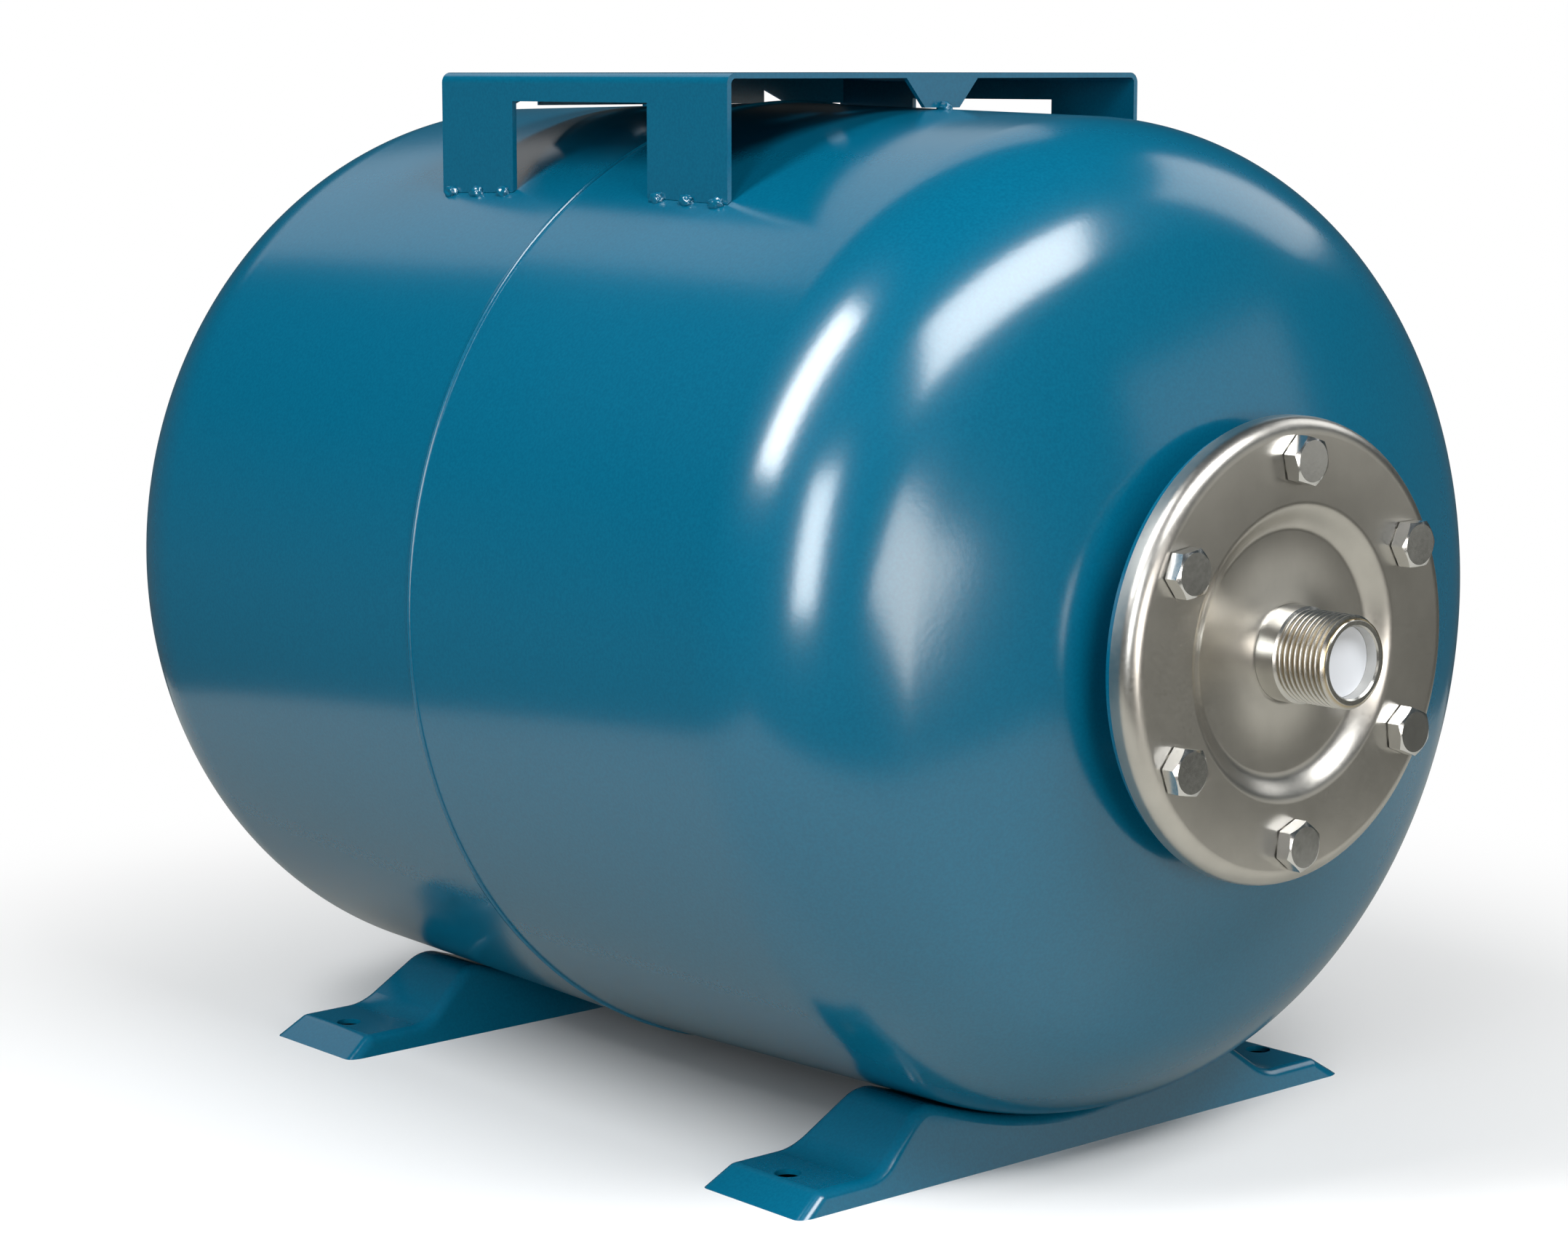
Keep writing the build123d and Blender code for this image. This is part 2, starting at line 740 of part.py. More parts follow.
# Brass valve stem: shank in the boss, hexagon on the gasket and a tube for the core.
with BuildPart() as valve_stem:
    with BuildSketch(behind(gasket_face)):
        RegularPolygon(stem_hex / 2, 6, major_radius=False)
    extrude(amount=stem_hex_height)
    with BuildSketch(profile_plane):
        shank_end = rear_pole - boss_depth - stem_tail
        add(ring_section(shank_end, gasket_face, 0, boss_bore_radius - stem_fit))
        add(ring_section(gasket_face, stem_end, 0, stem_radius))
    revolve(axis=tank_axis)
    with BuildSketch(profile_plane):
        add(ring_section(core_bottom, stem_end, 0, core_bore_radius))
        add(ring_section(shank_end, core_bottom, 0, air_bore_radius))
    revolve(axis=tank_axis, mode=Mode.SUBTRACT)

# Valve core body: guides the pin at both ends and holds the spring between.
with BuildPart() as valve_core_body:
    with BuildSketch(profile_plane):
        guide_radius = pin_radius + pin_clearance
        core_radius = core_bore_radius - core_clearance
        add(ring_section(core_bottom, core_top, guide_radius, core_radius))
        cavity_low = core_bottom + core_land
        cavity_high = core_top - core_land
        add(
            ring_section(cavity_low, cavity_high, guide_radius, core_cavity_radius),
            mode=Mode.SUBTRACT,
        )
    revolve(axis=tank_axis)

# Valve pin with the collar that its spring pushes on.
collar_low = cavity_high - pin_collar_height
with BuildPart() as valve_pin:
    with BuildSketch(profile_plane):
        add(ring_section(core_bottom - pin_seal_height, pin_top, 0, pin_radius))
        add(ring_section(collar_low, cavity_high, 0, pin_collar_radius))
    revolve(axis=tank_axis)

# Rubber seal at the pin's inner end, held against the core body by the spring.
with BuildPart() as valve_pin_seal:
    with BuildSketch(profile_plane):
        add(ring_section(core_bottom - pin_seal_height, core_bottom, pin_radius, pin_seal_radius))
    revolve(axis=tank_axis)

# Return spring round the pin.
spring_low = cavity_low + spring_wire
spring_height = collar_low - spring_wire - spring_low
spring_centre = (0, tank_middle_y + spring_low, axis_height)
with BuildPart() as valve_spring:
    with BuildLine() as coil:
        Helix(
            pitch=spring_height / spring_turns,
            height=spring_height,
            radius=spring_radius,
            center=spring_centre,
            direction=(0, 1, 0),
        )
    with BuildSketch(Plane(origin=coil.line @ 0, z_dir=coil.line % 0)):
        Circle(spring_wire)
    sweep(is_frenet=True)

# Rubber disc inside the end of the cap.
with BuildPart() as cap_seal:
    with BuildSketch(profile_plane):
        add(ring_section(seal_low, cap_inner_end, 0, boss_radius))
    revolve(axis=tank_axis)

# Plastic cap screwed over the boss, ribbed for grip.
cap_inner_radius = boss_radius + cap_fit
cap_outer_radius = cap_inner_radius + cap_wall
cap_start = rear_pole + cap_gap
with BuildPart() as valve_cap:
    with BuildSketch(profile_plane):
        add(ring_section(cap_start, cap_end, 0, cap_outer_radius))
    revolve(axis=tank_axis)
    fillet(valve_cap.edges().filter_by(GeomType.CIRCLE).sort_by(Axis.Y)[-1], cap_edge_fillet)
    with BuildSketch(behind(cap_start)):
        with PolarLocations(cap_outer_radius, cap_ribs):
            Circle(cap_rib_depth)
    extrude(amount=cap_end - cap_start - cap_edge_fillet, mode=Mode.SUBTRACT)
    with BuildSketch(profile_plane):
        add(ring_section(cap_start, cap_inner_end, 0, cap_inner_radius))
    revolve(axis=tank_axis, mode=Mode.SUBTRACT)

pieces = {
    "front_shell": front_shell.part,
    "rear_shell": rear_shell.part,
    "seam_weld": seam_weld.part,
    "neck_ring": neck_ring.part,
    "neck_weld": neck_weld.part,
    "flange_cover": flange_cover.part,
    "water_nipple": water_nipple.part,
    "nipple_weld": nipple_weld.part,
    "flange_bolts": flange_bolts.part,
    "bladder": bladder.part,
    "transit_plug": transit_plug.part,
    "front_foot": front_foot,
    "rear_foot": rear_foot,
    "pump_bracket": pump_bracket.part,
    "bracket_tack_welds": bracket_tack_welds.part,
    "valve_boss": valve_boss.part,
    "valve_boss_weld": valve_boss_weld.part,
    "valve_gasket": valve_gasket.part,
    "valve_stem": valve_stem.part,
    "valve_core_body": valve_core_body.part,
    "valve_pin": valve_pin.part,
    "valve_pin_seal": valve_pin_seal.part,
    "valve_spring": valve_spring.part,
    "cap_seal": cap_seal.part,
    "valve_cap": valve_cap.part,
}

os.makedirs("parts", exist_ok=True)
for name, piece in pieces.items():
    piece.label = name
    export_step(piece, f"parts/{name}.step")
print("tank middle at y", round(tank_middle_y, 3))
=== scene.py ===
import bmesh
import bpy
from math import asin, atan2, cos, degrees, pi, radians, sin, sqrt, tan
from mathutils import Matrix, Vector, noise


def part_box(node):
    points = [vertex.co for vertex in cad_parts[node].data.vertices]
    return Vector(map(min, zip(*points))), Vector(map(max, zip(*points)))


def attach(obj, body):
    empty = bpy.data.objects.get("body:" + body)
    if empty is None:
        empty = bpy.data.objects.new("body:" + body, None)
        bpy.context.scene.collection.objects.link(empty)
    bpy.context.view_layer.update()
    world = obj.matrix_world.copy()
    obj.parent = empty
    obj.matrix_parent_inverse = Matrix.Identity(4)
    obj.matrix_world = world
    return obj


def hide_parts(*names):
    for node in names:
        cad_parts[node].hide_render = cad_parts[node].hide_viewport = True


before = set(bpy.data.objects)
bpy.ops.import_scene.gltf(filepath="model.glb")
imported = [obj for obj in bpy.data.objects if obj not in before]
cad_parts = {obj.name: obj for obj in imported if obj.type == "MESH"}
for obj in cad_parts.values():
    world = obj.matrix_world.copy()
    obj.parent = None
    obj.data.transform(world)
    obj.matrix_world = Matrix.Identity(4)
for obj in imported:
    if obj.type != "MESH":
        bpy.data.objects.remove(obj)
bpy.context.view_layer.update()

# Camera: stands to the front left, a little above the middle of the tank, looking slightly down.
camera_aim = Vector((0, 0.00483, 0.179))
camera_azimuth = radians(-41.13)
camera_elevation = radians(8.72)
camera_distance = 1.4816
camera_data = bpy.data.cameras.new("camera")
camera_data.lens = 83.23
camera_data.sensor_width = 36
camera = bpy.data.objects.new("camera", camera_data)
away = Vector((
    sin(camera_azimuth) * cos(camera_elevation),
    -cos(camera_azimuth) * cos(camera_elevation),
    sin(camera_elevation),
))
camera.location = camera_aim + camera_distance * away
camera.rotation_euler = away.to_track_quat("Z", "Y").to_euler()
bpy.context.scene.collection.objects.link(camera)
bpy.context.scene.camera = camera
bpy.context.scene.view_settings.view_transform = "Standard"

# Studio: white to the eye, and a dim room with a warmer lower half in the reflections.
room_above = (0.012, 0.026, 0.034, 1)
room_below = (0.09, 0.09, 0.08, 1)
world = bpy.data.worlds.new("studio")
bpy.context.scene.world = world
world.use_nodes = True
nodes, links = world.node_tree.nodes, world.node_tree.links
nodes.clear()
direction = nodes.new("ShaderNodeTexCoord")
split = nodes.new("ShaderNodeSeparateXYZ")
height = nodes.new("ShaderNodeMapRange")
height.inputs["From Min"].default_value = -0.12
height.inputs["From Max"].default_value = 0.3
room = nodes.new("ShaderNodeMix")
room.data_type = "RGBA"
room.inputs["A"].default_value = room_below
room.inputs["B"].default_value = room_above
seen = nodes.new("ShaderNodeLightPath")
dim = nodes.new("ShaderNodeBackground")
white = nodes.new("ShaderNodeBackground")
white.inputs["Color"].default_value = (1, 1, 1, 1)
either = nodes.new("ShaderNodeMixShader")
output = nodes.new("ShaderNodeOutputWorld")
links.new(direction.outputs["Generated"], split.inputs["Vector"])
links.new(split.outputs["Z"], height.inputs["Value"])
links.new(height.outputs["Result"], room.inputs["Factor"])
links.new(room.outputs["Result"], dim.inputs["Color"])
links.new(seen.outputs["Is Camera Ray"], either.inputs["Fac"])
links.new(dim.outputs["Background"], either.inputs[1])
links.new(white.outputs["Background"], either.inputs[2])
links.new(either.outputs["Shader"], output.inputs["Surface"])

# Floor: a white sheet under the vessel that fades into the white surround.
floor_half = 0.62
sheet = bmesh.new()
bmesh.ops.create_grid(sheet, x_segments=1, y_segments=1, size=floor_half)
bmesh.ops.rotate(sheet, verts=sheet.verts, cent=(0, 0, 0), matrix=Matrix.Rotation(camera_azimuth, 3, "Z"))
bmesh.ops.translate(sheet, verts=sheet.verts, vec=(0.05, -0.05, 0))
floor_mesh = bpy.data.meshes.new("floor")
sheet.to_mesh(floor_mesh)
sheet.free()
floor = bpy.data.objects.new("floor", floor_mesh)
bpy.context.scene.collection.objects.link(floor)
floor_paint = bpy.data.materials.new("white_sheet")
floor_paint.use_nodes = True
nodes, links = floor_paint.node_tree.nodes, floor_paint.node_tree.links
nodes.clear()
place = nodes.new("ShaderNodeTexCoord")
reach = nodes.new("ShaderNodeVectorMath")
reach.operation = "LENGTH"
fade = nodes.new("ShaderNodeMapRange")
fade.interpolation_type = "SMOOTHSTEP"
fade.inputs["From Min"].default_value = 0.18
fade.inputs["From Max"].default_value = 0.60
matt = nodes.new("ShaderNodeBsdfDiffuse")
matt.inputs["Color"].default_value = (0.86, 0.86, 0.86, 1)
glow = nodes.new("ShaderNodeEmission")
glow.inputs["Color"].default_value = (1, 1, 1, 1)
mix = nodes.new("ShaderNodeMixShader")
grey = nodes.new("ShaderNodeBsdfDiffuse")
grey.inputs["Color"].default_value = (0.48, 0.47, 0.43, 1)
seen = nodes.new("ShaderNodeLightPath")
either = nodes.new("ShaderNodeMixShader")
output = nodes.new("ShaderNodeOutputMaterial")
links.new(place.outputs["Object"], reach.inputs[0])
links.new(reach.outputs["Value"], fade.inputs["Value"])
links.new(fade.outputs["Result"], mix.inputs["Fac"])
links.new(matt.outputs["BSDF"], mix.inputs[1])
links.new(glow.outputs["Emission"], mix.inputs[2])
links.new(seen.outputs["Is Camera Ray"], either.inputs["Fac"])
links.new(grey.outputs["BSDF"], either.inputs[1])
links.new(mix.outputs["Shader"], either.inputs[2])
links.new(either.outputs["Shader"], output.inputs["Surface"])
floor_mesh.materials.append(floor_paint)


# Lights: soft boxes for the window light on the front knuckle, the pale wall in front, the
# room behind and on the right, and a weak card that the flange reflects.
def soft_light(name, azimuth, elevation, distance, width, tall, watts, colour, roll=0):
    """A rectangular soft box that faces the tank; azimuth counts from the front towards +X."""
    lamp = bpy.data.lights.new(name, "AREA")
    lamp.shape = "RECTANGLE"
    lamp.size = width
    lamp.size_y = tall
    lamp.energy = watts
    lamp.color = colour
    lamp_object = bpy.data.objects.new(name, lamp)
    way = Vector((
        sin(radians(azimuth)) * cos(radians(elevation)),
        -cos(radians(azimuth)) * cos(radians(elevation)),
        sin(radians(elevation)),
    ))
    lamp_object.location = Vector((0, 0, 0.2)) + distance * way
    turn = way.to_track_quat("Z", "Y").to_matrix() @ Matrix.Rotation(radians(roll), 3, "Z")
    lamp_object.rotation_euler = turn.to_euler()
    bpy.context.scene.collection.objects.link(lamp_object)


soft_light("light_left_high", -101, 47, 2.4, 0.60, 1.5, 46, (1, 1, 1))
soft_light("light_left_low", -63, 17, 2.4, 0.50, 1.1, 20, (0.95, 0.98, 1))
soft_light("light_front_top", 3, 50, 2.4, 1.7, 0.85, 46, (1, 1, 1))
soft_light("light_front_wall", -14, 5, 2.4, 1.2, 0.75, 17, (1, 0.95, 0.90), roll=-32)
soft_light("light_rear_top", 160, 40, 2.6, 2.2, 1.2, 5, (1, 1, 1))
soft_light("light_right", 80, 35, 2.6, 1.2, 1.2, 8, (1, 1, 1))
soft_light("light_front_right", 42, 8, 2.6, 1.3, 1.1, 2.4, (1, 0.98, 0.91))


# Steel shell, front half: a drawn cup with a slight draft, a dished end, a flat land and the
# round opening that the neck ring is welded on. Teal-blue powder paint over 1.5 mm steel.
tank_radius = 0.190
front_pole = 0.253
draft = radians(1.3)
knuckle_radius = 0.0705
crown_radius = 0.380
wall = 0.0015
opening_radius = 0.057
land_radius = 0.082
boss_hole_radius = 0.013
seam_low, seam_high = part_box("seam_weld")
tank_middle = (seam_low + seam_high) / 2
seam_half = (seam_high.y - seam_low.y) / 2


def arc(centre, radius, start, end, steps):
    """Points of an arc in the turning section, angles in degrees from the tank axis."""
    turns = [radians(start + (end - start) * step / steps) for step in range(steps + 1)]
    return [(centre[0] + radius * cos(turn), centre[1] + radius * sin(turn)) for turn in turns]


def new_object(name, mesh_data):
    """Writes a bmesh into a new object that stands at the origin."""
    mesh = bpy.data.meshes.new(name)
    mesh_data.to_mesh(mesh)
    mesh_data.free()
    piece = bpy.data.objects.new(name, mesh)
    bpy.context.scene.collection.objects.link(piece)
    return piece


def smooth(piece, angle):
    """Smooth shading with sharp edges where the faces turn by more than the angle."""
    for face in piece.data.polygons:
        face.use_smooth = True
    piece.data.set_sharp_from_angle(angle=radians(angle))


def turned(name, outline, steps, angle=30):
    """A closed outline of (along, out) points, turned about the tank axis."""
    shape = bmesh.new()
    corners = [
        shape.verts.new((0, tank_middle.y + along, tank_middle.z + out)) for along, out in outline
    ]
    for one, two in zip(corners, corners[1:] + corners[:1]):
        shape.edges.new((one, two))
    bmesh.ops.spin(
        shape, geom=shape.verts[:] + shape.edges[:], cent=tank_middle, axis=(0, 1, 0),
        angle=2 * pi, steps=steps, use_merge=True,
    )
    bmesh.ops.remove_doubles(shape, verts=shape.verts, dist=1e-6)
    bmesh.ops.recalc_face_normals(shape, faces=shape.faces)
    piece = new_object(name, shape)
    smooth(piece, angle)
    return piece


def shell_outline(pole, inset, start, stop_radius, steps):
    """Wall of a shell half: the drafted side, the knuckle and the crown as far as stop_radius."""
    base = tank_radius - knuckle_radius / cos(draft)
    crown_centre = pole - crown_radius
    reach = crown_centre + tan(draft) * base
    left_over = crown_centre**2 + base**2 - (crown_radius - knuckle_radius) ** 2
    centre = (reach + sqrt(reach**2 - left_over / cos(draft) ** 2)) * cos(draft) ** 2
    centre_out = base - tan(draft) * centre
    meeting = degrees(atan2(centre_out, centre - crown_centre))
    knuckle = knuckle_radius - inset
    crown = crown_radius - inset
    side_end = centre + knuckle * sin(draft)
    side = []
    for step in range(6):
        along = start + (side_end - start) * step / 6
        side.append((along, tank_radius - tan(draft) * along - inset / cos(draft)))
    bend = arc((centre, centre_out), knuckle, 90 - degrees(draft), meeting, steps)
    stop = degrees(asin(stop_radius / crown))
    return side + bend + arc((crown_centre, 0), crown, meeting, stop, steps // 2)[1:]


def teal_paint(name):
    """Satin-gloss powder paint: fine orange peel, faint mottling and slightly uneven gloss."""
    paint = bpy.data.materials.new(name)
    paint.use_nodes = True
    nodes, links = paint.node_tree.nodes, paint.node_tree.links
    shader = nodes["Principled BSDF"]
    place = nodes.new("ShaderNodeTexCoord")
    mottle = nodes.new("ShaderNodeTexNoise")
    mottle.inputs["Scale"].default_value = 900
    mottle.inputs["Detail"].default_value = 3
    colour = nodes.new("ShaderNodeValToRGB")
    colour.color_ramp.elements[0].position = 0.35
    colour.color_ramp.elements[0].color = (0.0004, 0.098, 0.180, 1)
    colour.color_ramp.elements[1].position = 0.65
    colour.color_ramp.elements[1].color = (0.0008, 0.115, 0.205, 1)
    uneven = nodes.new("ShaderNodeTexNoise")
    uneven.inputs["Scale"].default_value = 9
    uneven.inputs["Detail"].default_value = 4
    gloss = nodes.new("ShaderNodeMapRange")
    gloss.inputs["To Min"].default_value = 0.15
    gloss.inputs["To Max"].default_value = 0.22
    peel = nodes.new("ShaderNodeTexNoise")
    peel.inputs["Scale"].default_value = 420
    peel.inputs["Detail"].default_value = 2
    bump = nodes.new("ShaderNodeBump")
    bump.inputs["Strength"].default_value = 0.05
    bump.inputs["Distance"].default_value = 0.0004
    links.new(place.outputs["Object"], mottle.inputs["Vector"])
    links.new(place.outputs["Object"], uneven.inputs["Vector"])
    links.new(place.outputs["Object"], peel.inputs["Vector"])
    links.new(mottle.outputs["Fac"], colour.inputs["Fac"])
    links.new(colour.outputs["Color"], shader.inputs["Base Color"])
    links.new(uneven.outputs["Fac"], gloss.inputs["Value"])
    links.new(gloss.outputs["Result"], shader.inputs["Roughness"])
    links.new(peel.outputs["Fac"], bump.inputs["Height"])
    links.new(bump.outputs["Normal"], shader.inputs["Normal"])
    shader.inputs["Specular IOR Level"].default_value = 0.9
    return paint


tank_paint = teal_paint("tank_paint")
outside = shell_outline(front_pole, 0, seam_half, land_radius, 40)
inside = shell_outline(front_pole, wall, 0, land_radius, 20)
land = outside[-1][0]
outline = outside + [(land, opening_radius), (land - wall, opening_radius)]
outline += [(land - wall, land_radius)] + inside[-2::-1]
front_shell = turned("front_shell_half", [(-along, out) for along, out in outline], 288)
front_shell.data.materials.append(tank_paint)
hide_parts("front_shell")
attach(front_shell, "tank")


# Steel shell, rear half: the same drawn cup, closed round the valve boss. Its edge is joggled
# inwards and slides under the front half.
rear_pole = 0.2644
joggle_end = seam_half + 0.004
spigot = 0.014
spigot_radius = tank_radius - wall - 0.00005
spigot_end_radius = spigot_radius - spigot * tan(draft)
outside = shell_outline(rear_pole, 0, joggle_end, boss_hole_radius, 40)
inside = shell_outline(rear_pole, wall, joggle_end, boss_hole_radius, 20)
groove_radius = tank_radius - seam_half * tan(draft)
outline = [(seam_half, groove_radius)] + outside + inside[::-1]
outline += [(seam_half, spigot_radius - wall), (0, spigot_radius - wall)]
outline += [(-spigot, spigot_end_radius - wall), (-spigot, spigot_end_radius), (0, spigot_radius)]
rear_shell = turned("rear_shell_half", outline, 288)
rear_shell.data.materials.append(tank_paint)
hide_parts("rear_shell")
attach(rear_shell, "tank")


# Girth weld: a smooth painted bead with a rounded crest and a thin lip behind it.
bead_height = 0.0009
bead_profile = (
    (-0.0016, 0.0005), (-0.0012, bead_height), (-0.0007, 0.0008),
    (-0.0002, 0.0003), (0.0006, 0.0001), (0.0013, 0.0002),
)
outline = [(0, tank_radius - wall), (-seam_half, groove_radius - 0.0002)]
outline += [(-seam_half, groove_radius)]
outline += [(along, tank_radius + up) for along, up in bead_profile]
outline += [(seam_half, groove_radius)]
seam = turned("girth_weld_bead", outline, 288, angle=50)
seam.data.materials.append(tank_paint)
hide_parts("seam_weld")
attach(seam, "tank")


# Feet: two pressings of 2 mm steel, bent over the tank's round and flanged at the floor, with
# a hole in each pad. Spot welded under the shell and painted with it.
def give(material, *names):
    """Gives CAD nodes that keep their shape one material."""
    for name in names:
        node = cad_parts[name]
        node.data.materials.clear()
        node.data.materials.append(material)


give(tank_paint, "front_foot", "rear_foot")


# Pump bracket: 2 mm steel sheet bent into a flat table with two legs, a tab at the front and an
# apron at the rear. Tacked to the shell and painted with it.
give(tank_paint, "pump_bracket")


# Tack welds: short lumps of weld metal at the feet of the bracket's legs and under its tab and
# apron, uneven from the torch and covered by the paint.
bracket_half = 0.1075
leg_middles = (-0.0646, 0.0646)
tack_step = 0.0171
tack_radius = 0.0027
tack_swell = 0.28
lump_scale = 700
tack_proud = 0.0004
tack_sunk = 0.0015
lumps = bmesh.new()
places = []
for side in (-1, 1):
    for middle in leg_middles:
        for step in (-1, 0, 1):
            along = middle + step * tack_step
            body = tank_radius - abs(along) * tan(draft)
            up = sqrt(body**2 - bracket_half**2)
            places.append((side * (bracket_half + tack_proud), along, up))
tack_low, tack_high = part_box("bracket_tack_welds")
for end in (tack_low.y + tack_radius * 0.8, tack_high.y - tack_radius * 0.8):
    places.append((0, end - tank_middle.y, tank_radius - tack_sunk))
for number, (across, along, up) in enumerate(places):
    made = bmesh.ops.create_icosphere(lumps, subdivisions=4, radius=tack_radius)["verts"]
    for vert in made:
        swell = 1 + tack_swell * noise.noise(vert.co * lump_scale + Vector((number * 7, 0, 0)))
        vert.co = Vector((vert.co.x * 0.8, vert.co.y * 1.5, vert.co.z)) * swell
    bmesh.ops.translate(lumps, verts=made, vec=tank_middle + Vector((across, along, up)))
tacks = new_object("tack_weld_lumps", lumps)
smooth(tacks, 60)
tacks.data.materials.append(tank_paint)
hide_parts("bracket_tack_welds")
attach(tacks, "tank")


# Valve boss: a turned steel bush welded into the middle of the rear head, painted with the
# shell, and the fillet weld round it.
give(tank_paint, "valve_boss", "valve_boss_weld")


# Neck ring: a turned steel plate and tube welded on the front head; it carries the bolts and
# clamps the bladder's lip. Its painted rim shows behind the cover.
give(tank_paint, "neck_ring", "neck_weld")


# Flange cover: pressed 3 mm plate with a rolled edge, a dished middle and a raised collar,
# zinc plated. Six bolts hold it on the neck ring.
cover_front, cover_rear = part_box("flange_cover")
face = cover_front.y - tank_middle.y
cover_radius = (cover_rear.x - cover_front.x) / 2
sheet_thickness = 0.003
edge_round = 0.0065
dish_outer, dish_inner, dish_depth = 0.054, 0.0427, 0.006
collar_foot, collar_top, collar_height = 0.0239, 0.0188, 0.0022
nipple_hole = 0.01735
skirt = cover_rear.y - tank_middle.y


def dish_curve(start, steps):
    """S-shaped wall of the dish, from the outer flat down to the disc."""
    points = []
    for step in range(steps + 1):
        share = step / steps
        out = dish_outer + (dish_inner - dish_outer) * share
        points.append((start + dish_depth * (1 - cos(pi * share)) / 2, out))
    return points


def zinc(name, colour, rough_low, rough_high, grain):
    """Zinc-plated steel: slightly mottled metal with rolling grain and uneven gloss."""
    metal = bpy.data.materials.new(name)
    metal.use_nodes = True
    nodes, links = metal.node_tree.nodes, metal.node_tree.links
    shader = nodes["Principled BSDF"]
    shader.inputs["Metallic"].default_value = 1
    place = nodes.new("ShaderNodeTexCoord")
    mottle = nodes.new("ShaderNodeTexNoise")
    mottle.inputs["Scale"].default_value = 60
    mottle.inputs["Detail"].default_value = 6
    tint = nodes.new("ShaderNodeValToRGB")
    tint.color_ramp.elements[0].position = 0.3
    tint.color_ramp.elements[0].color = tuple(0.88 * part for part in colour) + (1,)
    tint.color_ramp.elements[1].position = 0.7
    tint.color_ramp.elements[1].color = colour + (1,)
    speck = nodes.new("ShaderNodeTexNoise")
    speck.inputs["Scale"].default_value = 700
    speck.inputs["Detail"].default_value = 3
    gloss = nodes.new("ShaderNodeMapRange")
    gloss.inputs["To Min"].default_value = rough_low
    gloss.inputs["To Max"].default_value = rough_high
    bump = nodes.new("ShaderNodeBump")
    bump.inputs["Strength"].default_value = grain
    bump.inputs["Distance"].default_value = 0.0002
    links.new(place.outputs["Object"], mottle.inputs["Vector"])
    links.new(place.outputs["Object"], speck.inputs["Vector"])
    links.new(mottle.outputs["Fac"], tint.inputs["Fac"])
    links.new(tint.outputs["Color"], shader.inputs["Base Color"])
    links.new(speck.outputs["Fac"], gloss.inputs["Value"])
    links.new(gloss.outputs["Result"], shader.inputs["Roughness"])
    links.new(speck.outputs["Fac"], bump.inputs["Height"])
    links.new(bump.outputs["Normal"], shader.inputs["Normal"])
    return metal


cover_zinc = zinc("cover_zinc", (0.62, 0.60, 0.56), 0.26, 0.38, 0.07)
disc = face + dish_depth
outline = [(disc - collar_height, nipple_hole), (disc - collar_height, collar_top)]
outline += [(disc, collar_foot), (disc, dish_inner)]
outline += dish_curve(face, 24)[::-1][1:]
outline += arc((face + edge_round, cover_radius - edge_round), edge_round, 180, 90, 16)
outline += [(skirt, cover_radius), (skirt, cover_radius - sheet_thickness)]
inner_round = edge_round - sheet_thickness
outline += arc((face + edge_round, cover_radius - edge_round), inner_round, 90, 180, 8)
outline += dish_curve(face + sheet_thickness, 24)
outline += [(disc + sheet_thickness, nipple_hole)]
cover = turned("flange_cover_plate", outline, 256, angle=24)
cover.data.materials.append(cover_zinc)
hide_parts("flange_cover")
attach(cover, "tank")


# Water nipple: a length of steel pipe with a 1 inch male pipe thread, passed through the
# cover's collar and welded behind it. Bright zinc, with the plating golden in the thread.
thread_radius = 0.01662
thread_depth = 0.00145
thread_pitch = 0.00231
thread_length = 0.021
nipple_bore = 0.0127
nipple_shank = 0.0173
nipple_shoulder = 0.023
shoulder_length = 0.003
mouth_chamfer = 0.0006
root_chamfer = 0.0004
shank_chamfer = 0.0012
crest_half = 0.00022
flank = 0.46 * thread_pitch
ridge_sunk = 0.0002
thread_turns = 9
steps_in_turn = 96
nipple_low, nipple_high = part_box("water_nipple")
mouth = nipple_low.y - tank_middle.y
tail = nipple_high.y - tank_middle.y
root = thread_radius - thread_depth
shank_start = mouth + thread_length
disc_back = disc + sheet_thickness
outline = [(mouth + mouth_chamfer, nipple_bore), (mouth, nipple_bore + mouth_chamfer)]
outline += [(mouth, root - root_chamfer), (mouth + root_chamfer, root)]
outline += [(shank_start, root), (shank_start + shank_chamfer, nipple_shank)]
outline += [(disc_back, nipple_shank), (disc_back, nipple_shoulder)]
outline += [(disc_back + shoulder_length, nipple_shoulder)]
outline += [(disc_back + shoulder_length, thread_radius), (tail, thread_radius), (tail, nipple_bore)]
nipple = turned("threaded_nipple", outline, 128)
helix = bmesh.new()
section = [(-flank, root - ridge_sunk), (-crest_half, thread_radius)]
section += [(crest_half, thread_radius), (flank, root - ridge_sunk)]
first = mouth - ridge_sunk
corners = [
    helix.verts.new((0, tank_middle.y + first + along, tank_middle.z + out))
    for along, out in section
]
helix.faces.new(corners)
bmesh.ops.spin(
    helix, geom=helix.verts[:] + helix.edges[:] + helix.faces[:], cent=tank_middle,
    axis=(0, 1, 0), dvec=(0, thread_pitch / steps_in_turn, 0), angle=2 * pi * thread_turns,
    steps=thread_turns * steps_in_turn,
)

